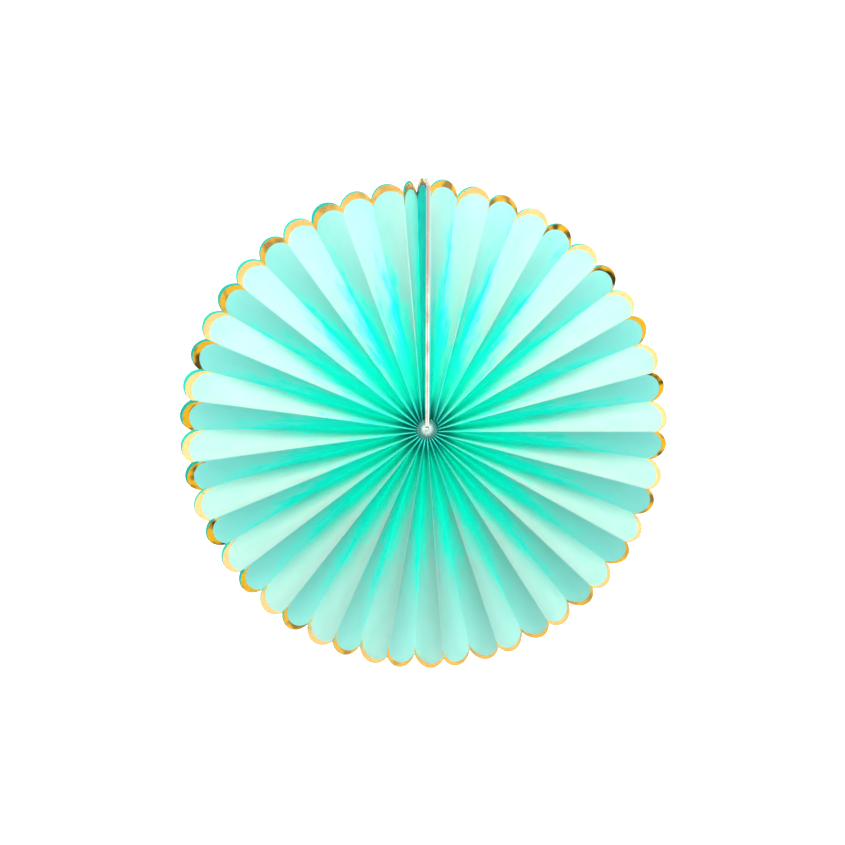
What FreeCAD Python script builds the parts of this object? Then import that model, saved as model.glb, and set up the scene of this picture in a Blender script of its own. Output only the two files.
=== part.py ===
"""Paper fan rosette: a pleated, scalloped paper strip opened into a full circle.

The strip has parallel folds.  Its two end panels are glued to stiff card strips, and the
cards are stuck together with adhesive tape, which closes the circle.  The inner ends of all
the pleats meet round a dab of glue at the hub.  Paper bends but doesn't stretch, so each
panel keeps its width from hub to rim: it stands almost on edge at the hub and opens out
towards the rim.

Frame: millimetres, +Z up.  The fan lies on its back with its hub raised, as it comes to
rest: on the back corner of the seam and on the back folds opposite.  +Y points from the hub
towards the seam, and +X to the right of it seen from above.
"""
import FreeCAD, Part
import math
import os
from FreeCAD import Placement, Rotation, Vector

DIMENSIONS = [
    ("panel_width", 17.5, "width of one panel, from fold to fold"),
    ("panel_count", 51, "panels in the strip, with the two glued end panels"),
    ("scallop_rise", 5.5, "how far a scallop's tip stands beyond the ends of its folds"),
    ("paper_thickness", 0.25, "thickness of the pleated paper"),
    ("crease_width", 0.3, "width of the narrow flat that a fold leaves"),
    ("hub_back_radius", 3.4, "radius of the inner ends of the back folds"),
    ("hub_front_radius", 5.8, "radius of the inner ends of the front folds"),
    ("rim_back_radius", 118.8, "radius of the outer ends of the back folds"),
    ("rim_front_radius", 119.8, "radius of the outer ends of the front folds"),
    ("hub_lift", 19.4, "height of the back of the hub over the seam's back corner"),
    ("hub_room_angle", 30.0, "room at the hub for the right side of the seam"),
    ("second_fold_angle", 8.1, "second fold at the rim, clockwise from the seam"),
    ("mean_pitch_angle", 7.37, "mean angle between folds at the rim"),
    ("swing_angle", 3.6, "how far the uneven opening moves the folds"),
    ("swing_phase_angle", 20.0, "where round the rim the pleats are widest open"),
    ("seam_back_angle", -1.2, "back edge of the seam at the rim"),
    ("seam_front_angle", 0.65, "front edge of the seam at the rim"),
    ("seam_back_radius", 119.2, "radius of the outer end of the seam's back edge"),
    ("seam_front_radius", 121.9, "radius of the outer end of the seam's front edge"),
    ("card_thickness", 0.8, "thickness of an end card"),
    ("card_margin", 0.3, "how far a card stays inside the edges of its panel"),
    ("card_hub_reach", 4.2, "how far the cards run on past the inner ends of the folds"),
    ("tape_thickness", 0.2, "thickness of the adhesive tape between the cards"),
    ("tape_margin", 2.0, "how far the tape stays inside the edges of the cards"),
    ("glue_gap", 0.05, "film between the glue dab and the inner ends of the folds"),
    ("glue_recess", 1.2, "depth of the dab's rim below the front folds"),
    ("glue_depth", 8.0, "thickness of the dab without its dome"),
    ("glue_dome_radius", 3.6, "radius of the dab's domed top"),
    ("glue_dome_rise", 1.8, "height of the dab's domed top"),
    ("station_count", 9, "stations where the height of a fold is worked out"),
]


def add_sheet(doc):
    """Write the driving dimensions into a spreadsheet, one aliased cell each."""
    sheet = doc.addObject("Spreadsheet::Sheet", "Dimensions")
    for row, (alias, value, note) in enumerate(DIMENSIONS, start=1):
        sheet.set(f"A{row}", alias)
        sheet.set(f"B{row}", str(value))
        sheet.setAlias(f"B{row}", alias)
        sheet.set(f"C{row}", note)
    doc.recompute()
    return sheet


def polar(radius, clockwise):
    """Point in plan at a radius and an angle in degrees, clockwise from +Y."""
    turn = math.radians(clockwise)
    return Vector(radius * math.sin(turn), radius * math.cos(turn), 0)


class Seam:
    """The layers that close the circle: end panel, card, tape, card and end panel."""

    def __init__(self, size):
        self.size = size
        self.back_ends = (polar(size.hub_back_radius, 0) + Vector(0, 0, size.hub_lift),
                          polar(size.seam_back_radius, size.seam_back_angle))
        self.front_ends = (polar(size.hub_front_radius, 0),
                           polar(size.seam_front_radius, size.seam_front_angle))
        self.run = (self.back_ends[1] - self.back_ends[0]).normalize()
        self.card_face = size.tape_thickness / 2 + size.card_thickness
        self.fold_offset = self.card_face + (size.paper_thickness + size.crease_width) / 2

    def middle(self, front, share):
        """Point on the back or front edge of the middle plane, from hub to rim."""
        back = self.back_ends[0] + (self.back_ends[1] - self.back_ends[0]) * share
        if not front:
            return back
        spot = self.front_ends[0] + (self.front_ends[1] - self.front_ends[0]) * share
        spread = math.hypot(spot.x - back.x, spot.y - back.y)
        spot.z = back.z + math.sqrt(self.size.panel_width ** 2 - spread ** 2)
        return spot

    def point(self, front, share, offset, lift=0):
        """Point beside an edge, offset to the right and lifted towards the front."""
        upward = (self.middle(True, share) - self.middle(False, share)).normalize()
        right = self.run.cross(upward).normalize()
        return self.middle(front, share) + right * offset + upward * lift

    def paper_offset(self, on_right, face):
        """Offset of the front or back face of the end panel on one side of the cards."""
        thickness = self.size.paper_thickness
        if on_right:
            return self.card_face + (thickness if face < 0 else 0)
        return -self.card_face - (thickness if face > 0 else 0)


class Fan:
    """The folds of the opened strip.  Odd folds are at the front, even ones at the back.

    Fold 1 is the front fold at the seam's right side, and the last one is the back fold at
    its left side.  Line 0 and the line after the last fold are the strip's two cut edges.
    """

    def __init__(self, sheet):
        for alias, _, _ in DIMENSIONS:
            setattr(self, alias, float(sheet.get(alias)))
        self.cut_line = int(self.panel_count)
        self.last_fold = self.cut_line - 1
        steps = int(self.station_count) - 1
        self.stations = [math.sin(math.pi / 2 * step / steps) for step in range(steps + 1)]
        self.seam = Seam(self)
        self.plan_ends = {fold: self.find_ends(fold) for fold in range(2, self.last_fold)}
        self.points = [self.find_points(share) for share in self.stations]

    def rim_angle(self, fold):
        """Angle of a fold at the rim.  The pleats are open widest near the seam."""
        count = fold - 2
        phase = math.radians(self.swing_phase_angle)
        turn = 2 * math.pi * count / (self.last_fold - 3)
        swing = self.swing_angle * (math.sin(turn + phase) - math.sin(phase))
        return self.second_fold_angle + self.mean_pitch_angle * count + swing

    def find_ends(self, fold):
        """Hub end and rim end of a fold in plan."""
        front = fold % 2 == 1
        hub_radius = self.hub_front_radius if front else self.hub_back_radius
        rim_radius = self.rim_front_radius if front else self.rim_back_radius
        seam_turn = math.degrees(math.asin(self.seam.fold_offset / self.hub_back_radius))
        hub_pitch = (360 - seam_turn - self.hub_room_angle) / (self.last_fold - 2)
        hub_angle = self.hub_room_angle + hub_pitch * (fold - 2)
        return polar(hub_radius, hub_angle), polar(rim_radius, self.rim_angle(fold))

    def find_points(self, share):
        """Points of all the folds at one share of the way from hub to rim.

        Each height follows from the last one, because every panel keeps its width.  What is
        left over when the circle closes is spread evenly over the folds.
        """
        offset = self.seam.fold_offset
        points = {1: self.seam.point(True, share, offset)}
        for fold in range(2, self.last_fold):
            hub_end, rim_end = self.plan_ends[fold]
            points[fold] = hub_end + (rim_end - hub_end) * share
        points[self.last_fold] = self.seam.point(False, share, -offset)
        closing_height = points[self.last_fold].z
        for fold in range(2, self.last_fold + 1):
            before, here = points[fold - 1], points[fold]
            spread = math.hypot(here.x - before.x, here.y - before.y)
            rise = math.sqrt(self.panel_width ** 2 - spread ** 2)
            here.z = before.z + (rise if fold % 2 == 1 else -rise)
        left_over = points[self.last_fold].z - closing_height
        for fold in range(2, self.last_fold + 1):
            points[fold].z -= left_over * (fold - 1) / (self.last_fold - 1)
        return points

    def run(self, fold, station):
        """Direction of a fold at a station, from hub to rim."""
        before = max(station - 1, 0)
        after = min(station + 1, len(self.stations) - 1)
        return (self.points[after][fold] - self.points[before][fold]).normalize()

    def corner(self, fold, side, face, station):
        """Corner of the thick paper at a fold.

        side is -1 towards the panel before the fold and +1 towards the one after it, and
        face is +1 at the front and -1 at the back.  A fold is wider on its outer face.
        """
        half_paper = self.paper_thickness / 2
        if (fold, side) == (1, -1) or (fold, side) == (self.last_fold, 1):
            on_right = fold == 1
            offset = self.seam.paper_offset(on_right, face)
            share = self.stations[station]
            return self.seam.point(on_right, share, offset, lift=face * half_paper)
        middle = self.points[station][fold]
        run = self.run(fold, station)
        across = Vector(run.y, -run.x, 0).normalize()
        upward = across.cross(run)
        panel = self.points[station][fold + side] - middle
        outer = face if fold % 2 == 1 else -face
        spread = outer * half_paper * math.tan(panel.getAngle(across * side) / 2)
        half_crease = self.crease_width / 2
        return middle + across * side * (half_crease + spread) + upward * face * half_paper

    def paper_rail(self, fold, side):
        """Front and back points along one side of a fold."""
        stations = range(len(self.stations))
        return [[self.corner(fold, side, face, station) for station in stations]
                for face in (1, -1)]

    def seam_rail(self, front, offsets, margin=0, stations=None):
        """Two lines of points along an edge of a layer of the seam, one for each face."""
        lift = -margin if front else margin
        return [[self.seam.point(front, share, offset, lift)
                 for share in stations or self.stations]
                for offset in offsets]


def scallop_reach(left_rail, right_rail, rise):
    """Vector from the middle of a panel's end to the tip of its scallop."""
    left, right = left_rail[0], right_rail[0]
    chord = (right[-1] - left[-1]).normalize()
    run = (left[-1] + right[-1]) - (left[-2] + right[-2])
    return (run - chord * run.dot(chord)).normalize() * rise


def segment(start, end):
    """Straight edge."""
    return Part.LineSegment(start, end).toShape()


def band_faces(left, right, pleated):
    """Faces between two lines of points, from station to station.

    Paper doesn't stretch, so a pleat takes up its twist in flat triangles.  Other bands
    are hardly twisted and are ruled from line to line.
    """
    faces = []
    for left_start, right_start, right_end, left_end in zip(left, right, right[1:], left[1:]):
        if pleated:
            for corners in ((left_start, right_start, right_end),
                            (left_start, right_end, left_end)):
                faces.append(Part.Face(Part.makePolygon([*corners, corners[0]])))
        else:
            sides = segment(left_start, left_end), segment(right_start, right_end)
            faces.append(Part.makeRuledSurface(*sides))
    return faces


def rim_faces(left_rail, right_rail, reach):
    """Faces at the outer end of the strip between two rails, scalloped if reach is given."""
    chords = [segment(left[-1], right[-1]) for left, right in zip(left_rail, right_rail)]
    if reach is None:
        return [Part.makeRuledSurface(*chords)]
    arcs = []
    for left, right in zip(left_rail, right_rail):
        tip = (left[-1] + right[-1]) / 2 + reach
        arcs.append(Part.Arc(left[-1], tip, right[-1]).toShape())
    lobes = [Part.Face(Part.Wire([chord, arc])) for chord, arc in zip(chords, arcs)]
    return lobes + [Part.makeRuledSurface(*arcs)]


def make_sheet(rails, reaches, pleats=()):
    """Solid of a thin sheet.

    rails are its lengthwise edges in order, each with the points of both faces.  reaches
    say how each stretch between two rails ends at the rim, and pleats are the numbers of
    the stretches that are open pleats.
    """
    faces = band_faces(*rails[0], False) + band_faces(*rails[-1], False)
    for index, reach in enumerate(reaches):
        left, right = rails[index], rails[index + 1]
        for face in range(2):
            faces.extend(band_faces(left[face], right[face], index in pleats))
        hub_ends = [segment(left[face][0], right[face][0]) for face in range(2)]
        faces.append(Part.makeRuledSurface(*hub_ends))
        faces.extend(rim_faces(left, right, reach))
    shell = Part.Shell(faces)
    shell.sewShape()
    solid = Part.Solid(shell)
    if solid.Volume < 0:
        solid.reverse()
    return solid


def make_strip(fan):
    """The pleated paper: panels and creases in turn, from one cut edge to the other."""
    right_offsets = [fan.seam.paper_offset(True, face) for face in (1, -1)]
    left_offsets = [fan.seam.paper_offset(False, face) for face in (1, -1)]
    rails = [fan.seam_rail(False, right_offsets)]
    for fold in range(1, fan.cut_line):
        rails.append(fan.paper_rail(fold, -1))
        rails.append(fan.paper_rail(fold, 1))
    rails.append(fan.seam_rail(True, left_offsets))
    reaches = []
    for index in range(len(rails) - 1):
        is_panel = index % 2 == 0
        reach = scallop_reach(rails[index], rails[index + 1], fan.scallop_rise)
        reaches.append(reach if is_panel else None)
    return make_sheet(rails, reaches, pleats=range(2, len(reaches) - 1, 2))


def make_card(fan, left_offset, right_offset):
    """An end card: a stiff strip the size of a panel, with a scalloped end."""
    hub_share = -fan.card_hub_reach / (fan.seam_back_radius - fan.hub_back_radius)
    stations = [hub_share] + fan.stations[1:]
    rails = [fan.seam_rail(front, (left_offset, right_offset), fan.card_margin, stations)
             for front in (False, True)]
    reach = scallop_reach(*rails, fan.scallop_rise - fan.card_margin)
    return make_sheet(rails, [reach])


def make_tape(fan):
    """Double-sided adhesive tape between the cards."""
    half = fan.tape_thickness / 2
    rails = [fan.seam_rail(front, (-half, half), fan.card_margin + fan.tape_margin)
             for front in (False, True)]
    return make_sheet(rails, [None])


def lean_angle(fan):
    """Lean of the fan, in degrees, when it rests on the seam's corner and the far folds."""
    corner = fan.points[-1][fan.last_fold]
    slopes = []
    for fold in range(2, fan.last_fold, 2):
        spot = fan.points[-1][fold]
        if spot.y < 0:
            slopes.append(math.atan2(spot.z - corner.z, corner.y - spot.y))
    return math.degrees(min(slopes))


def resting_placement(fan, shapes):
    """Placement that leans the fan onto its back, with the origin under its middle."""
    lean = Placement(Vector(), Rotation(Vector(1, 0, 0), lean_angle(fan)))
    box = FreeCAD.BoundBox()
    for shape in shapes:
        leaning = shape.copy()
        leaning.Placement = lean
        box.add(leaning.optimalBoundingBox())
    drop = Placement(Vector(-box.Center.x, -box.Center.y, -box.ZMin), Rotation())
    return drop.multiply(lean)


def add_glue(doc, fan, resting, cards):
    """The dab of glue at the hub: a cone that fills the inner ends of the folds, a domed
    top, and slots where the ends of the cards and tape stand in it."""
    rim_height = fan.seam.middle(True, 0).z - fan.glue_recess
    cone = doc.addObject("Part::Cone", "GlueCone")
    taper = "(Dimensions.hub_front_radius - Dimensions.hub_back_radius) / Dimensions.panel_width"
    rim = f"Dimensions.hub_front_radius - Dimensions.glue_gap - {taper} * Dimensions.glue_recess"
    cone.setExpression("Radius2", rim)
    cone.setExpression("Radius1", f"{rim} - {taper} * Dimensions.glue_depth")
    cone.setExpression("Height", "Dimensions.glue_depth")
    low = Placement(Vector(0, 0, rim_height - fan.glue_depth), Rotation())
    cone.Placement = resting.multiply(low)
    dome = doc.addObject("Part::Ellipsoid", "GlueDome")
    dome.setExpression("Radius1", "Dimensions.glue_dome_rise")
    dome.setExpression("Radius2", "Dimensions.glue_dome_radius")
    dome.setExpression("Radius3", "Dimensions.glue_dome_radius")
    dome.Angle1 = 0
    dome.Placement = resting.multiply(Placement(Vector(0, 0, rim_height), Rotation()))
    dab = doc.addObject("Part::Fuse", "GlueDab")
    dab.Base = cone
    dab.Tool = dome
    for index, card in enumerate(cards):
        slotted = doc.addObject("Part::Cut", f"GlueSlot{index}")
        slotted.Base = dab
        slotted.Tool = card
        dab = slotted
    dab.Label = "hub_glue"
    return dab


def add_sheet_part(doc, name, shape, resting):
    """A sub-part whose solid is a thin sheet."""
    part = doc.addObject("Part::Feature", name)
    part.Label = name
    part.Shape = shape
    part.Placement = resting
    return part


def check(doc, parts):
    """Stop if a feature failed or a sub-part has no sound solid."""
    failed = [item.Name for item in doc.Objects if {"Invalid", "Error"} & set(item.State)]
    if failed:
        raise RuntimeError(f"failed features: {failed}")
    for part in parts:
        if part.Shape.isNull() or not part.Shape.isValid():
            raise RuntimeError(f"{part.Label} has no valid shape")
        print(part.Label, "solids", len(part.Shape.Solids), "faces", len(part.Shape.Faces),
              "volume", round(part.Shape.Volume, 1))


def main():
    doc = FreeCAD.newDocument("PaperFanRosette")
    fan = Fan(add_sheet(doc))
    half_tape = fan.tape_thickness / 2
    shapes = {
        "pleated_strip": make_strip(fan),
        "end_card_left": make_card(fan, -fan.seam.card_face, -half_tape),
        "end_card_right": make_card(fan, half_tape, fan.seam.card_face),
        "seam_tape": make_tape(fan),
    }
    resting = resting_placement(fan, shapes.values())
    parts = [add_sheet_part(doc, name, shape, resting) for name, shape in shapes.items()]
    parts.append(add_glue(doc, fan, resting, parts[1:]))
    doc.recompute()
    check(doc, parts)
    os.makedirs("parts", exist_ok=True)
    for part in parts:
        part.Shape.exportStep(os.path.join("parts", f"{part.Label}.step"))


main()
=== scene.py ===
"""Paper fan rosette: its looks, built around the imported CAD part, and the photo's view of it.

The pleated paper is modelled as a flat sheet first, with its scallops, and then folded: every
panel keeps its width from hub to rim.  Row frame: metres, +Z up, the fan on its back, +Y from
the hub towards the seam.  Sizes below are in millimetres and angles in degrees, unless a
comment says otherwise.
"""

import math
import random

import bmesh
import bpy
from mathutils import Matrix, Vector, noise


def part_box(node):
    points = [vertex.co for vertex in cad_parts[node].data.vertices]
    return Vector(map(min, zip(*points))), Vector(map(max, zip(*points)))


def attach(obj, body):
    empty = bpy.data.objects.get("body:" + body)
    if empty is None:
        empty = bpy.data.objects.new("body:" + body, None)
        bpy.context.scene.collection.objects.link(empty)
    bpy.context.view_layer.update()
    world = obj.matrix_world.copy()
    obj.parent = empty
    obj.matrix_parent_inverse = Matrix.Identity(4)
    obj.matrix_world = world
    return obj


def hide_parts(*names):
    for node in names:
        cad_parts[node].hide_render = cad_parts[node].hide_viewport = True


MM = 0.001

# The folded sheet, with the CAD part's dimensions.
PANEL_WIDTH = 17.5
PANELS = 51
LAST_FOLD = PANELS - 1
SCALLOP_RISE = 5.5
PAPER = 0.25
CREASE = 0.3
HUB_BACK, HUB_FRONT = 3.4, 5.8
RIM_BACK, RIM_FRONT = 118.8, 119.8
HUB_LIFT = 19.4
HUB_ROOM = 30.0
SECOND_FOLD = 8.1
MEAN_PITCH = 7.37
SWING, SWING_PHASE = 3.6, 20.0
SEAM_BACK = (119.2, -1.2)
SEAM_FRONT = (121.9, 0.65)

# From the seam's middle to the outside of a card, and to the folds beside the cards.
CARD_FACE = 0.9
SEAM_FOLD_OFFSET = CARD_FACE + (PAPER + CREASE) / 2

# How far panels bow and scallop tips curl from handling, and how far a crease is rounded.
BOW = 0.35
CURL_IN, CURL_OUT = -0.5, 0.9
CREASE_ROUND = 0.05

# How finely the sheet is divided.
PANEL_CELLS = 12
CREASE_CELLS = 2
ROWS = 34
LOBE_ROWS = 8

# The foil band on a scallop, and where the tinted rim beyond it may start, out from the
# centre of the scallop's circle.
SCALLOP_RADIUS = (PANEL_WIDTH ** 2 / 4 + SCALLOP_RISE ** 2) / (2 * SCALLOP_RISE)
FOIL_BAND = 3.0
FOIL_OVERLAP = 0.35
FOIL_RAGGED = 0.2
LOBE_START = 1.5

# How far the foil is stamped off its place.  It is more on one side of the fan, SLIP_TURN
# before the seam, and SLIP_SHARE of it goes along each of the view's axes.
SLIP_LEAST, SLIP_MOST = 1.2, 2.3
SLIP_EVEN, SLIP_SWING, SLIP_TURN = 0.8, 0.3, 55.0
SLIP_SHARE = 0.7

# How much of its light the paper lets through.
PAPER_THROUGH = 0.55

# Painted shade in the valleys: a deep teal that stands in for shade and light bounced between
# the panels, reaching out from the hub, further in the back folds and on panels turned from the
# key light, with a faint painted glow.
VALLEY_SHADE_FULL, VALLEY_SHADE_ENDS = 3.0, 58.0
VALLEY_SHADE_MOST = 0.93
VALLEY_SHADE_UNEVEN = 100.0
VALLEY_SHADE_IN_BACK_FOLDS = 34.0
VALLEY_SHADE_ON_SHADED_PANELS = 32.0
PAINTED_GLOW_STRENGTH = 0.03
SEAM_PANEL_SHADE = 3.5
PANEL_SHADE_CONTRAST = 0.8
TOWARDS_KEY_LIGHT = Vector((-0.3, 1, 0))

# The glue dab: its crown's base under the CAD dab's top, and the rest in shares of its radius
# sideways and in millimetres upwards.
GLUE_CROWN = 2.6
GLUE_RISE, GLUE_ROUNDING = 1.2, 1.6
GLUE_LUMPS, GLUE_LUMP_SCALE = 0.18, 2.5
GLUE_WAVE, GLUE_WAVE_SCALE = 0.03, 1.5
GLUE_DEPTH = 6
DROP_HEIGHT, DROP_RADIUS = 0.7, 0.16
DROP_SPOT = Vector((-0.05, 0.04))

# The stage: half the floor's side, the light that it and the surround give, and the key light
# in metres and watts.
FLOOR_HALF = 2500
FLOOR_GLOW = 1.1
AMBIENT = 0.26
KEY_PLACE = (0.0, 1.1, 1.0)
KEY_SIZE = 1.0
KEY_POWER = 33

# The photo's view: distance and width in metres, and the way back from the fan to the camera.
VIEW_DISTANCE, VIEW_WIDTH = 1.2, 0.4317
VIEW_AIM = (-1.07, 0.95, 7.5)
VIEW_BACK = (-0.052, 0.045, 1)

# Settings that noise patterns and colour mixes share.
GRAINY = {"Detail": 3.0, "Roughness": 0.6}
PLAIN = {"Detail": 1.0, "Roughness": 0.6}
COLOUR = {"data_type": "RGBA"}


def srgb(code):
    """Linear RGBA of an sRGB hex colour."""
    channels = [int(code[start:start + 2], 16) / 255 for start in (0, 2, 4)]
    return [c / 12.92 if c <= 0.04045 else ((c + 0.055) / 1.055) ** 2.4 for c in channels] + [1]


def add(tree, kind, inputs=None, **settings):
    """Add a shader node.

    inputs holds a value, an output or a node for each socket; a node gives its first output
    that is in use.
    """
    node = tree.nodes.new("ShaderNode" + kind)
    for name, value in settings.items():
        setattr(node, name, value)
    for name, value in (inputs or {}).items():
        if isinstance(value, bpy.types.Node):
            value = next(output for output in value.outputs if output.enabled)
        if isinstance(value, bpy.types.NodeSocket):
            tree.links.new(value, node.inputs[name])
        else:
            node.inputs[name].default_value = value
    return node


def new_material(name):
    """Empty material and its node tree."""
    material = bpy.data.materials.new(name)
    material.use_nodes = True
    material.node_tree.nodes.clear()
    return material, material.node_tree


def object_millimetres(tree):
    """Object coordinates in millimetres, so that a pattern's scale is features per mm."""
    place = add(tree, "TexCoord").outputs["Object"]
    return add(tree, "VectorMath", {0: place, "Scale": 1000.0}, operation="SCALE")


def paper_shader(tree, sheet):
    """Dyed paper: matt and mottled, lit through in a greener tone than it reflects, with
    painted teal shade and a faint painted glow in its valleys.

    sheet is the place on the flat strip: across the panels, and along them from the hub.
    """
    # Clouds of dye 6 mm wide and three times as long, and clumps of fibre, which are finer
    # on real paper and drawn 1 mm wide to show.
    streaky = add(tree, "VectorMath", {0: sheet, 1: (1.0, 0.35, 1.0)}, operation="MULTIPLY")
    cloudy = add(tree, "TexNoise", {"Vector": streaky, "Scale": 0.16, **GRAINY})
    speckle = add(tree, "TexNoise", {"Vector": sheet, "Scale": 1.1, **GRAINY, "Detail": 2.0})
    clouds = add(tree, "Math", {0: cloudy, 1: 0.65}, operation="MULTIPLY")
    both = add(tree, "Math", {0: speckle, 1: 0.35, 2: clouds}, operation="MULTIPLY_ADD")
    mottle = add(tree, "MapRange", {"Value": both, "From Min": 0.38, "From Max": 0.62})
    pale = add(tree, "Mix", {"Factor": mottle, "A": srgb("EEF1EA"), "B": srgb("FEF6F2")},
               **COLOUR)
    # Painted shade in the valleys, a deep teal that stands in for shade and light bounced
    # between the panels: by the distance along the sheet, uneven at random, more in the back
    # folds and on panels turned from the key light.
    length = add(tree, "SeparateXYZ", {0: sheet}).outputs[1]
    depth = add(tree, "Attribute", attribute_name="depth").outputs["Fac"]
    painted_panel_shade = add(tree, "Attribute", attribute_name="painted_panel_shade").outputs["Fac"]
    middle = add(tree, "Math", {0: length, 1: VALLEY_SHADE_UNEVEN / 2}, operation="ADD")
    uneven = add(tree, "Math", {0: cloudy, 1: -VALLEY_SHADE_UNEVEN, 2: middle}, operation="MULTIPLY_ADD")
    steep = add(tree, "Math", {0: depth, 1: 1.5}, operation="POWER")
    folded = add(tree, "Math", {0: steep, 1: -VALLEY_SHADE_IN_BACK_FOLDS, 2: uneven},
                 operation="MULTIPLY_ADD")
    deep = add(tree, "Math", {0: painted_panel_shade, 1: -VALLEY_SHADE_ON_SHADED_PANELS, 2: folded},
               operation="MULTIPLY_ADD")
    painted_valley_shade = add(tree, "MapRange", {"Value": deep, "From Min": VALLEY_SHADE_ENDS,
                                      "From Max": VALLEY_SHADE_FULL, "To Max": VALLEY_SHADE_MOST},
                   interpolation_type="SMOOTHSTEP")
    # Painted shade: the darkest tone, down in the folds next to the hub.
    close = add(tree, "MapRange", {"Value": length, "From Min": 15.0, "From Max": 2.0},
                interpolation_type="SMOOTHSTEP")
    low = add(tree, "Math", {0: depth, 1: 0.85, 2: 0.15}, operation="MULTIPLY_ADD")
    shaded = add(tree, "Math", {0: close, 1: low}, operation="MULTIPLY")
    # What the face reflects, a deeper teal on panels turned from the key light: painted shade.
    panel_shaded_tone = add(tree, "Mix", {"Factor": painted_panel_shade, "A": srgb("28F8E6"), "B": srgb("10FFF8")},
                **COLOUR)
    face_rich = add(tree, "Mix", {"Factor": shaded, "A": panel_shaded_tone, "B": srgb("00B4AC")}, **COLOUR)
    tone = add(tree, "Mix", {"Factor": painted_valley_shade, "A": pale, "B": face_rich}, **COLOUR)
    height = add(tree, "Bump", {"Height": speckle, "Strength": 0.15, "Distance": 0.1 * MM})
    face = add(tree, "BsdfDiffuse", {"Color": tone, "Normal": height})
    # What comes through the sheet, in the same painted shade.
    rich = add(tree, "Mix", {"Factor": shaded, "A": srgb("00FFF5"), "B": srgb("00B4AC")},
               **COLOUR)
    pale_glow = add(tree, "Mix", {"Factor": painted_panel_shade, "A": srgb("5AE6DB"),
                                  "B": srgb("7AFFFC")}, **COLOUR)
    glow = add(tree, "Mix", {"Factor": painted_valley_shade, "A": pale_glow, "B": rich}, **COLOUR)
    through = add(tree, "BsdfTranslucent", {"Color": glow})
    sheet_light = add(tree, "MixShader", {0: PAPER_THROUGH, 1: face, 2: through})
    # A faint painted glow, where the painted valley shade lies.
    strength = add(tree, "Math", {0: painted_valley_shade, 1: PAINTED_GLOW_STRENGTH}, operation="MULTIPLY")
    painted_glow = add(tree, "Emission", {"Color": srgb("00FFE0"), "Strength": strength})
    return add(tree, "AddShader", {0: sheet_light, 1: painted_glow})


def plain_paper():
    """Mint dyed paper without print: the back of the sheet and its cut edges."""
    material, tree = new_material("mint_paper_plain")
    sheet = add(tree, "UVMap", uv_map="strip")
    add(tree, "OutputMaterial", {"Surface": paper_shader(tree, sheet)})
    return material


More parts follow.
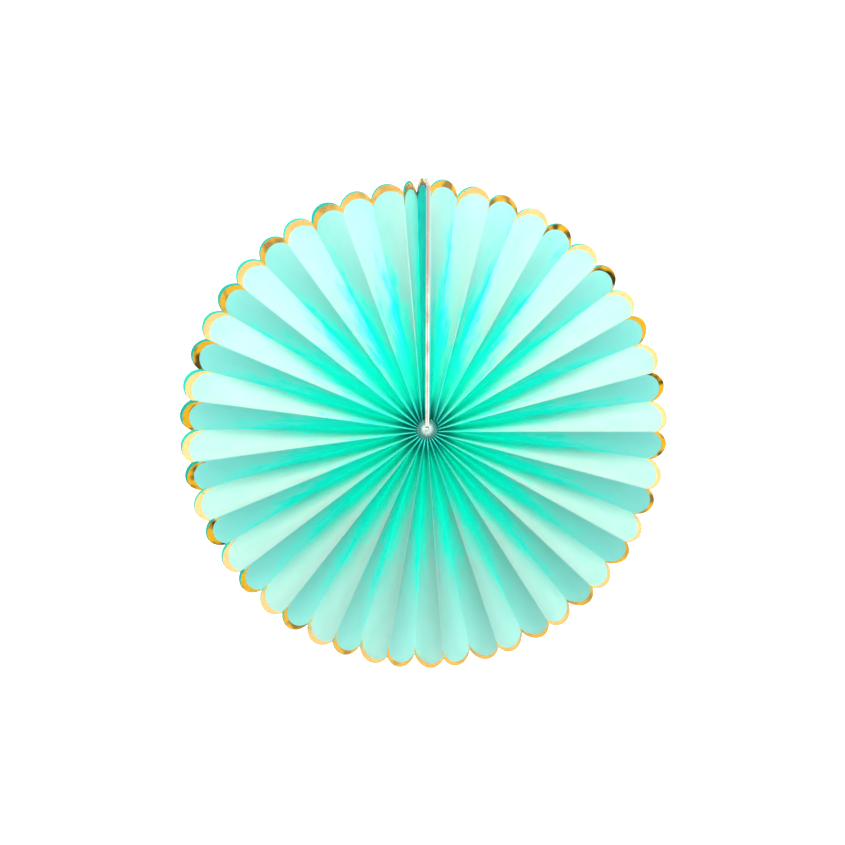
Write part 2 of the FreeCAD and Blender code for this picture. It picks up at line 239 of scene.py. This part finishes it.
def foiled_paper():
    """Mint dyed paper with a crescent of hot-stamped gold foil along each scallop.

    The foil lies off the edge's deeper tint, which shows as a thin rim beyond it.
    """
    material, tree = new_material("mint_paper_gold_foil_edge")
    sheet = add(tree, "UVMap", uv_map="strip")
    centre = add(tree, "UVMap", uv_map="foil")
    # The crescent lies between the scallop's circle and the same circle moved to the hub.
    outer = add(tree, "VectorMath", {0: centre}, operation="LENGTH")
    lowered = add(tree, "VectorMath", {0: centre, 1: (0, FOIL_BAND, 0)})
    inner = add(tree, "VectorMath", {0: lowered}, operation="LENGTH")
    nicks = add(tree, "TexNoise", {"Vector": sheet, "Scale": 1.3, **GRAINY})
    ragged = add(tree, "Math", {0: nicks, 1: FOIL_RAGGED, 2: -FOIL_RAGGED / 2},
                 operation="MULTIPLY_ADD")
    reach = add(tree, "Math", {0: ragged, 1: SCALLOP_RADIUS}, operation="ADD")
    beyond = add(tree, "Math", {0: inner, 1: reach}, operation="GREATER_THAN")
    ends = add(tree, "Math", {0: reach, 1: FOIL_OVERLAP}, operation="ADD")
    within = add(tree, "Math", {0: outer, 1: ends}, operation="LESS_THAN")
    mask = add(tree, "Math", {0: beyond, 1: within}, operation="MULTIPLY")
    # The deeper tint that the foil should have covered.
    outward = add(tree, "SeparateXYZ", {0: centre}).outputs[1]
    on_lobe = add(tree, "Math", {0: outward, 1: LOBE_START}, operation="GREATER_THAN")
    outside = add(tree, "Math", {0: 1.0, 1: within}, operation="SUBTRACT")
    rim = add(tree, "Math", {0: on_lobe, 1: outside}, operation="MULTIPLY")
    tint = add(tree, "BsdfDiffuse", {"Color": srgb("48D8C4")})
    seen = add(tree, "BsdfTranslucent", {"Color": srgb("20CCB8")})
    edge = add(tree, "MixShader", {0: 0.5, 1: tint, 2: seen})
    # Foil: waves 5 mm apart from the pressing; a painted dark reflection in patches 8 mm wide
    # on the panels turned from the key light, and a pale painted sheen on those that face it.
    painted_panel_shade = add(tree, "Attribute", attribute_name="painted_panel_shade").outputs["Fac"]
    scuffs = add(tree, "TexNoise", {"Vector": sheet, "Scale": 0.8, **GRAINY})
    rough = add(tree, "Math", {0: scuffs, 1: 0.2, 2: 0.2}, operation="MULTIPLY_ADD")
    waves = add(tree, "TexNoise", {"Vector": sheet, "Scale": 0.2, **GRAINY})
    dents = add(tree, "Bump", {"Height": waves, "Strength": 0.8, "Distance": 1.8 * MM})
    patches = add(tree, "TexNoise", {"Vector": sheet, "Scale": 0.12, **PLAIN})
    reflection_patches = add(tree, "MapRange", {"Value": patches, "From Min": 0.52, "From Max": 0.38})
    turned = add(tree, "Math", {0: painted_panel_shade, 1: 2.0}, operation="POWER")
    painted_dark_reflection = add(tree, "Math", {0: reflection_patches, 1: turned}, operation="MULTIPLY")
    metal = add(tree, "Mix", {"Factor": painted_dark_reflection, "A": srgb("FFBE14"), "B": srgb("4A3404")},
                **COLOUR)
    foil = add(tree, "BsdfPrincipled", {"Base Color": metal, "Metallic": 1.0,
                                        "Roughness": rough, "Normal": dents})
    painted_sheen = add(tree, "BsdfDiffuse", {"Color": srgb("FFF0D0")})
    painted_sheen_share = add(tree, "Math", {0: painted_panel_shade, 1: -0.3, 2: 0.32}, operation="MULTIPLY_ADD")
    gold = add(tree, "MixShader", {0: painted_sheen_share, 1: foil, 2: painted_sheen})
    printed = add(tree, "MixShader", {0: rim, 1: paper_shader(tree, sheet), 2: edge})
    stamped = add(tree, "MixShader", {0: mask, 1: printed, 2: gold})
    add(tree, "OutputMaterial", {"Surface": stamped})
    return material


def board(name, blotch_colour, ground_colour):
    """Uncoated cream board, a little fibrous, with pinkish blotches."""
    material, tree = new_material(name)
    place = object_millimetres(tree)
    # Fibres under 1 mm, and pinkish blotches 14 mm long that grow fewer towards the hub.
    fibres = add(tree, "TexNoise", {"Vector": place, "Scale": 1.5, **GRAINY})
    blotches = add(tree, "TexNoise", {"Vector": place, "Scale": 0.07, **GRAINY})
    along = add(tree, "SeparateXYZ", {0: place}).outputs[1]
    uneven = add(tree, "Math", {0: along, 1: -0.003, 2: blotches}, operation="MULTIPLY_ADD")
    creamier = add(tree, "MapRange", {"Value": uneven, "From Min": 0.2, "From Max": 0.45})
    tone = add(tree, "Mix", {"Factor": creamier, "A": srgb(blotch_colour), "B": srgb(ground_colour)}, **COLOUR)
    height = add(tree, "Bump", {"Height": fibres, "Strength": 0.3, "Distance": 0.1 * MM})
    face = add(tree, "BsdfPrincipled", {"Base Color": tone, "Roughness": 0.9,
                                        "Normal": height})
    add(tree, "OutputMaterial", {"Surface": face})
    return material


def adhesive():
    """Double-sided tape: a pinkish film with a half-gloss edge, cloudy every 2 mm."""
    material, tree = new_material("adhesive_tape")
    cloudy = add(tree, "TexNoise", {"Vector": object_millimetres(tree), "Scale": 0.6, **GRAINY})
    tone = add(tree, "Mix", {"Factor": cloudy, "A": srgb("D9BEB4"), "B": srgb("EAD6CD")},
               **COLOUR)
    face = add(tree, "BsdfPrincipled", {"Base Color": tone, "Roughness": 0.45})
    add(tree, "OutputMaterial", {"Surface": face})
    return material


def hot_melt(hub):
    """Hot-melt glue, set glossy: milky where thick, clear and grey-teal at its rim with painted
    highlights over the folds' crests and painted shade between them, and a painted white
    highlight on its drop.
    """
    material, tree = new_material("hot_melt_glue")
    place = object_millimetres(tree)
    aside = add(tree, "VectorMath", {0: place, 1: hub}, operation="SUBTRACT")
    flat = add(tree, "VectorMath", {0: aside, 1: (1, 1, 0)}, operation="MULTIPLY")
    radius = add(tree, "VectorMath", {0: flat}, operation="LENGTH")
    lumps = add(tree, "TexNoise", {"Vector": place, "Scale": 0.7, **GRAINY})
    ragged = add(tree, "Math", {0: lumps, 1: 2.0, 2: radius}, operation="MULTIPLY_ADD")
    thin = add(tree, "MapRange", {"Value": ragged, "From Min": 2.4, "From Max": 4.8},
               interpolation_type="SMOOTHSTEP")
    # Painted highlights over the folds' crests and painted shade between them.
    crest = add(tree, "Attribute", attribute_name="crest").outputs["Fac"]
    painted_crest_light_and_shade = add(tree, "Mix", {"Factor": crest, "A": srgb("1A5552"), "B": srgb("62D8C4")},
                 **COLOUR)
    edge = add(tree, "MapRange", {"Value": radius, "From Min": 3.4, "From Max": 5.0},
               interpolation_type="SMOOTHSTEP")
    clear = add(tree, "Mix", {"Factor": edge, "A": srgb("4A8A80"), "B": painted_crest_light_and_shade}, **COLOUR)
    milky = add(tree, "Mix", {"Factor": thin, "A": srgb("D6F2EC"), "B": clear}, **COLOUR)
    # A painted white highlight on the tip of the drop.
    drop = add(tree, "VectorMath", {0: flat, 1: (-0.3, 0.25, 0)}, operation="DISTANCE")
    painted_highlight = add(tree, "MapRange", {"Value": drop, "From Min": 1.1, "From Max": 0.5})
    tone = add(tree, "Mix", {"Factor": painted_highlight, "A": milky, "B": srgb("FFFFFF")}, **COLOUR)
    face = add(tree, "BsdfPrincipled", {"Base Color": tone, "Roughness": 0.2,
                                        "Subsurface Weight": 0.3,
                                        "Subsurface Radius": (MM, MM, MM)})
    add(tree, "OutputMaterial", {"Surface": face})
    return material


def polar(radius, clockwise):
    """Point in plan at a radius and an angle, clockwise from +Y."""
    turn = math.radians(clockwise)
    return Vector((radius * math.sin(turn), radius * math.cos(turn), 0))


def seam_middle(front, share):
    """Point on the front or back edge of the seam's middle plane."""
    hub = polar(HUB_BACK, 0) + Vector((0, 0, HUB_LIFT))
    back = hub.lerp(polar(*SEAM_BACK), share)
    if not front:
        return back
    spot = polar(HUB_FRONT, 0).lerp(polar(*SEAM_FRONT), share)
    spot.z = back.z + math.sqrt(PANEL_WIDTH ** 2 - (spot.xy - back.xy).length_squared)
    return spot


def seam_point(front, share, offset):
    """Point beside the seam's front or back edge, offset to the right."""
    upward = (seam_middle(True, share) - seam_middle(False, share)).normalized()
    run = (seam_middle(False, 1) - seam_middle(False, 0)).normalized()
    return seam_middle(front, share) + run.cross(upward).normalized() * offset


def rim_angle(fold):
    """Angle of a fold at the rim.  The pleats are open widest near the seam."""
    phase = math.radians(SWING_PHASE)
    turn = 2 * math.pi * (fold - 2) / (LAST_FOLD - 3)
    swing = SWING * (math.sin(turn + phase) - math.sin(phase))
    return SECOND_FOLD + MEAN_PITCH * (fold - 2) + swing


def hub_pitch():
    """Angle between folds at the hub."""
    seam_turn = math.degrees(math.asin(SEAM_FOLD_OFFSET / HUB_BACK))
    return (360 - seam_turn - HUB_ROOM) / (LAST_FOLD - 2)


def plan_point(fold, share):
    """Point of a fold in plan, at a share of the way from hub to rim."""
    front = fold % 2 == 1
    hub = polar(HUB_FRONT if front else HUB_BACK, HUB_ROOM + hub_pitch() * (fold - 2))
    return hub.lerp(polar(RIM_FRONT if front else RIM_BACK, rim_angle(fold)), share)


def fold_points(share):
    """Points of all the folds at one share.  Heights follow from the panels' width."""
    points = {1: seam_point(True, share, SEAM_FOLD_OFFSET)}
    for fold in range(2, LAST_FOLD):
        points[fold] = plan_point(fold, share)
    points[LAST_FOLD] = seam_point(False, share, -SEAM_FOLD_OFFSET)
    closing = points[LAST_FOLD].z
    for fold in range(2, LAST_FOLD + 1):
        before, here = points[fold - 1], points[fold]
        rise = math.sqrt(PANEL_WIDTH ** 2 - (here.xy - before.xy).length_squared)
        here.z = before.z + (rise if fold % 2 == 1 else -rise)
    left_over = points[LAST_FOLD].z - closing
    for fold in range(2, LAST_FOLD + 1):
        points[fold].z -= left_over * (fold - 1) / (LAST_FOLD - 1)
    return points


class Folded:
    """The folded sheet: where each column of the flat sheet goes, row by row."""

    def __init__(self, shares):
        self.shares = shares
        self.points = [fold_points(share) for share in shares]

    def crease_edge(self, row, fold, side):
        """Point on one side of a fold's crease."""
        middle = self.points[row][fold]
        before, after = max(row - 1, 0), min(row + 1, len(self.shares) - 1)
        run = (self.points[after][fold] - self.points[before][fold]).normalized()
        across = Vector((run.y, -run.x, 0)).normalized()
        return middle + across * side * CREASE / 2

    def panel_edges(self, row, panel):
        """The two long edges of a panel at a row.  The first and last ones are glued."""
        share = self.shares[row]
        glued = CARD_FACE + PAPER / 2
        if panel == 0:
            return seam_point(False, share, glued), self.crease_edge(row, 1, -1)
        if panel == PANELS - 1:
            return self.crease_edge(row, LAST_FOLD, 1), seam_point(True, share, -glued)
        return self.crease_edge(row, panel, 1), self.crease_edge(row, panel + 1, -1)


def lobe(spot):
    """How far the scallop reaches beyond the folds' ends, across a panel from 0 to 1."""
    aside = (spot - 0.5) * PANEL_WIDTH
    return math.sqrt(max(SCALLOP_RADIUS ** 2 - aside ** 2, 0)) - SCALLOP_RADIUS + SCALLOP_RISE


def panel_spots():
    """Places across a panel, closer together towards its folds."""
    return [(1 - math.cos(math.pi * k / PANEL_CELLS)) / 2 for k in range(PANEL_CELLS + 1)]


def columns():
    """(panel, spot) for each column of the sheet.  A spot over 1 lies in the crease."""
    found = []
    for panel in range(PANELS):
        found += [(panel, spot) for spot in panel_spots()]
        if panel < PANELS - 1:
            found += [(panel, 1 + k / CREASE_CELLS) for k in range(1, CREASE_CELLS)]
    return found


def foil_offset(panel, dice):
    """How far the foil is stamped off the scallop, towards the view's lower right."""
    turn = math.radians((rim_angle(panel) + rim_angle(panel + 1)) / 2)
    slip = dice.uniform(SLIP_LEAST, SLIP_MOST)
    slip *= SLIP_EVEN + SLIP_SWING * math.cos(turn + math.radians(SLIP_TURN))
    diagonal = Vector((math.cos(turn) + math.sin(turn), math.sin(turn) - math.cos(turn)))
    return diagonal * slip * SLIP_SHARE


def panel_painted_shade(folded, panel):
    """Painted shade of a panel: 0 for one that faces the key light beyond the seam's end, 1 for
    one turned from it.
    """
    low, high = folded.panel_edges(ROWS // 2, panel)
    aside = (high - low).normalized() * (1 if high.z > low.z else -1)
    return min(max(0.5 + PANEL_SHADE_CONTRAST * aside.dot(TOWARDS_KEY_LIGHT), 0), 1)


def add_maps(mesh, places, folded):
    """UV maps in millimetres, the flat strip and each scallop's foil, and two attributes.

    depth grows from 0 at the front folds to 1 at the back folds.  The other attribute is
    painted shade: 0 on panels that face the key light and 1 on those turned from it, and most
    on the last panel, by the seam.
    """
    depth = mesh.verts.layers.float.new("depth")
    painted_panel_shade = mesh.verts.layers.float.new("painted_panel_shade")
    panel_shades = [panel_painted_shade(folded, panel) for panel in range(PANELS)]
    panel_shades[-1] = SEAM_PANEL_SHADE
    for vert in mesh.verts:
        panel, spot, _ = places[vert.index]
        spot = min(spot, 1)
        vert[depth] = spot if panel % 2 else 1 - spot
        vert[painted_panel_shade] = panel_shades[panel]
    dice = random.Random(4)
    offsets = [foil_offset(panel, dice) for panel in range(PANELS)]
    strip = mesh.loops.layers.uv.new("strip")
    foil = mesh.loops.layers.uv.new("foil")
    middle = SCALLOP_RISE - SCALLOP_RADIUS
    for face in mesh.faces:
        panel = min(places[vert.index][0] for vert in face.verts)
        for loop in face.loops:
            own, spot, length = places[loop.vert.index]
            if own > panel:
                spot += 1 + CREASE / PANEL_WIDTH
            elif spot > 1:
                spot = 1 + (spot - 1) * CREASE / PANEL_WIDTH
            aside = (spot - 0.5) * PANEL_WIDTH
            loop[strip].uv = ((panel + 0.5) * (PANEL_WIDTH + CREASE) + aside, length)
            out = length - RIM_FRONT - middle
            loop[foil].uv = Vector((aside, out)) - offsets[panel]


def make_pleats():
    """The pleated paper: a flat grid, trimmed to scallops and folded."""
    cols = columns()
    shares = [math.sin(math.pi / 2 * k / ROWS) for k in range(ROWS + 1)]
    folded = Folded(shares)
    mesh = bmesh.new()
    bmesh.ops.create_grid(mesh, x_segments=len(cols) - 1,
                          y_segments=len(shares) + LOBE_ROWS - 1, size=1)
    mesh.verts.ensure_lookup_table()
    dice = random.Random(12)
    bows = [dice.uniform(-BOW, BOW) for _ in range(PANELS)]
    curls = [dice.uniform(CURL_IN, CURL_OUT) for _ in range(PANELS)]
    places = []
    for index, vert in enumerate(mesh.verts):
        row, column = divmod(index, len(cols))
        panel, spot = cols[column]
        on_body = min(row, ROWS)
        length = RIM_FRONT * shares[on_body]
        if spot > 1:
            low = folded.crease_edge(on_body, panel + 1, -1)
            high = folded.crease_edge(on_body, panel + 1, 1)
            vert.co = low.lerp(high, spot - 1)
            vert.co.z += CREASE_ROUND if panel % 2 == 0 else -CREASE_ROUND
            places.append((panel, spot, length))
            continue
        left, right = folded.panel_edges(on_body, panel)
        chord = (right - left).normalized()
        ahead = min(row + 1, ROWS)
        behind = max(row - 1, 0) if row <= ROWS else ROWS - 1
        run = (sum(folded.panel_edges(ahead, panel), Vector())
               - sum(folded.panel_edges(behind, panel), Vector()))
        run = (run - chord * run.dot(chord)).normalized()
        normal = chord.cross(run)
        out = lobe(spot) * max(row - ROWS, 0) / LOBE_ROWS
        glued = panel in (0, PANELS - 1)
        arch = 0 if glued else math.sin(math.pi * spot) * bows[panel] * shares[on_body]
        curl = 0 if glued else curls[panel] * (out / SCALLOP_RISE) ** 2
        vert.co = left.lerp(right, spot) + run * out + normal * (arch + curl)
        places.append((panel, spot, length + out))
    mesh.verts.index_update()
    add_maps(mesh, places, folded)
    return mesh, folded


def lean_angle(folded):
    """Lean of the fan as it rests on the seam's back corner and the far folds, in radians."""
    ends = folded.points[-1]
    corner = ends[LAST_FOLD]
    return min(math.atan2(ends[fold].z - corner.z, corner.y - ends[fold].y)
               for fold in range(2, LAST_FOLD, 2) if ends[fold].y < 0)


def finish_mesh(mesh, name, materials):
    """Object from a bmesh in millimetres, smooth shaded."""
    bmesh.ops.scale(mesh, vec=(MM, MM, MM), verts=mesh.verts)
    for face in mesh.faces:
        face.smooth = True
    data = bpy.data.meshes.new(name)
    mesh.to_mesh(data)
    mesh.free()
    for material in materials:
        data.materials.append(material)
    piece = bpy.data.objects.new(name, data)
    bpy.context.scene.collection.objects.link(piece)
    return piece


def add_pleats():
    """The visible pleated paper in place of the CAD strip."""
    mesh, folded = make_pleats()
    leaning = Matrix.Rotation(lean_angle(folded), 3, "X")
    bmesh.ops.rotate(mesh, cent=(0, 0, 0), matrix=leaning, verts=mesh.verts)
    low = Vector([min(v.co[axis] for v in mesh.verts) for axis in range(3)])
    high = Vector([max(v.co[axis] for v in mesh.verts) for axis in range(3)])
    cad_low, cad_high = (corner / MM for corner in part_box("pleated_strip"))
    shift = (cad_low + cad_high) / 2 - (low + high) / 2
    bmesh.ops.translate(mesh, vec=shift, verts=mesh.verts)
    bmesh.ops.recalc_face_normals(mesh, faces=mesh.faces)
    if sum(face.normal.z for face in mesh.faces) < 0:
        bmesh.ops.reverse_faces(mesh, faces=mesh.faces)
    piece = finish_mesh(mesh, "pleated_paper", [foiled_paper(), plain_paper()])
    thick = piece.modifiers.new("paper_thickness", "SOLIDIFY")
    thick.thickness = PAPER * MM
    thick.offset = 0
    thick.material_offset = 1
    thick.material_offset_rim = 1
    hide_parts("pleated_strip")
    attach(piece, "root")


def paint(node, material):
    """Give a CAD node its real finish."""
    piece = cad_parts[node]
    piece.data.materials.clear()
    piece.data.materials.append(material)


def add_glue():
    """The dab of glue with the drop that its gun left, in place of the CAD one.

    It starts as a sphere of radius 1.  crest is 1 over the front folds and 0 between them.
    """
    low, high = (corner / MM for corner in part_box("hub_glue"))
    hub = Vector(((low.x + high.x) / 2, (low.y + high.y) / 2, high.z - GLUE_CROWN))
    reach = (high.x - low.x) / 2
    pitch = hub_pitch()
    mesh = bmesh.new()
    bmesh.ops.create_uvsphere(mesh, u_segments=192, v_segments=48, radius=1)
    crest = mesh.verts.layers.float.new("crest")
    for vert in mesh.verts:
        turn = math.degrees(math.atan2(vert.co.x, vert.co.y)) % 360
        fold = (turn - HUB_ROOM) / pitch + 2
        if 1 < fold < LAST_FOLD:
            vert[crest] = (0.5 - 0.5 * math.cos(math.pi * fold)) ** 2
        if vert.co.z > 0:
            lumps = noise.noise(vert.co * GLUE_LUMP_SCALE) * GLUE_LUMPS
            drop = DROP_HEIGHT * math.exp(-((vert.co.xy - DROP_SPOT).length / DROP_RADIUS) ** 2)
            vert.co.z = (GLUE_RISE * vert.co.z ** GLUE_ROUNDING * (1 + lumps)
                         + drop * vert.co.z)
        else:
            vert.co.z *= GLUE_DEPTH
        wave = GLUE_WAVE * noise.noise(vert.co * GLUE_WAVE_SCALE)
        vert.co.xy *= reach * (1 + wave - GLUE_WAVE)
        vert.co += hub
    piece = finish_mesh(mesh, "glue_dab", [hot_melt(hub)])
    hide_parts("hub_glue")
    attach(piece, "root")


def add_floor():
    """Plain white light table, larger than the view, which lights the paper from below."""
    material, tree = new_material("studio_floor")
    face = add(tree, "BsdfDiffuse", {"Color": srgb("A0A0A0")})
    lift = add(tree, "Emission", {"Color": srgb("FDFFFC"), "Strength": FLOOR_GLOW})
    add(tree, "OutputMaterial", {"Surface": add(tree, "AddShader", {0: face, 1: lift})})
    mesh = bmesh.new()
    bmesh.ops.create_grid(mesh, x_segments=1, y_segments=1, size=FLOOR_HALF)
    floor = finish_mesh(mesh, "floor", [material])


def add_key():
    """Soft key light from beyond the top of the picture, that the foil doesn't mirror."""
    lamp = bpy.data.lights.new("key_softbox", "AREA")
    lamp.shape = "SQUARE"
    lamp.size = KEY_SIZE
    lamp.energy = KEY_POWER
    holder = bpy.data.objects.new("key_softbox", lamp)
    bpy.context.scene.collection.objects.link(holder)
    holder.location = KEY_PLACE
    holder.rotation_mode = "QUATERNION"
    holder.rotation_quaternion = (-Vector(KEY_PLACE)).to_track_quat("-Z", "Y")
    holder.visible_glossy = False


def add_surround():
    """Even surround, white to the camera, with patches for the foil and glue to mirror."""
    world = bpy.data.worlds.new("studio_surround")
    bpy.context.scene.world = world
    world.use_nodes = True
    tree = world.node_tree
    tree.nodes.clear()
    path = add(tree, "LightPath").outputs
    way = add(tree, "TexCoord").outputs["Generated"]
    ahead = add(tree, "SeparateXYZ", {0: way}).outputs[1]
    shapes = add(tree, "TexNoise", {"Vector": way, "Scale": 2.6, **PLAIN})
    cloudy = add(tree, "Math", {0: ahead, 1: 0.15, 2: shapes}, operation="MULTIPLY_ADD")
    patches = add(tree, "MapRange", {"Value": cloudy, "From Min": 0.3, "From Max": 0.6,
                                     "To Min": 0.8, "To Max": 1.2})
    mirrored = add(tree, "Mix", {"Factor": path["Is Glossy Ray"],
                                 "A": (AMBIENT, AMBIENT, AMBIENT, 1), "B": patches}, **COLOUR)
    tone = add(tree, "Mix", {"Factor": path["Is Camera Ray"], "A": mirrored,
                             "B": srgb("FFFFFF")}, **COLOUR)
    surround = add(tree, "Background", {"Color": tone})
    add(tree, "OutputWorld", {"Surface": surround})


def add_camera():
    """Camera above the fan, a little towards the seam and to the left, as in the photo."""
    back = Vector(VIEW_BACK).normalized()
    data = bpy.data.cameras.new("camera")
    data.lens = data.sensor_width * VIEW_DISTANCE / VIEW_WIDTH
    camera = bpy.data.objects.new("camera", data)
    bpy.context.scene.collection.objects.link(camera)
    camera.location = Vector(VIEW_AIM) * MM + back * VIEW_DISTANCE
    right = Vector((0, 1, 0)).cross(back).normalized()
    turn = Matrix((right, back.cross(right), back)).transposed()
    camera.rotation_mode = "QUATERNION"
    camera.rotation_quaternion = turn.to_quaternion()
    bpy.context.scene.camera = camera


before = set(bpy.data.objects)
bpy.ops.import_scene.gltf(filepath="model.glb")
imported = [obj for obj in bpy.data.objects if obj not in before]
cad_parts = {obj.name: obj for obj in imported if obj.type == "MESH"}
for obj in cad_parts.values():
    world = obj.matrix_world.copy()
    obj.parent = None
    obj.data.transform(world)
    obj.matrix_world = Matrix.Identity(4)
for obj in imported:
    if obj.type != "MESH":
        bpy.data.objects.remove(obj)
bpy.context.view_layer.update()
add_pleats()
paint("end_card_left", board("cream_board_left", "C4A29A", "F2DCD0"))
paint("end_card_right", board("cream_board_right", "C8B4AC", "EAF4E4"))
paint("seam_tape", adhesive())
add_glue()
add_floor()
add_key()
add_surround()
add_camera()
bpy.context.scene.view_settings.view_transform = "Standard"
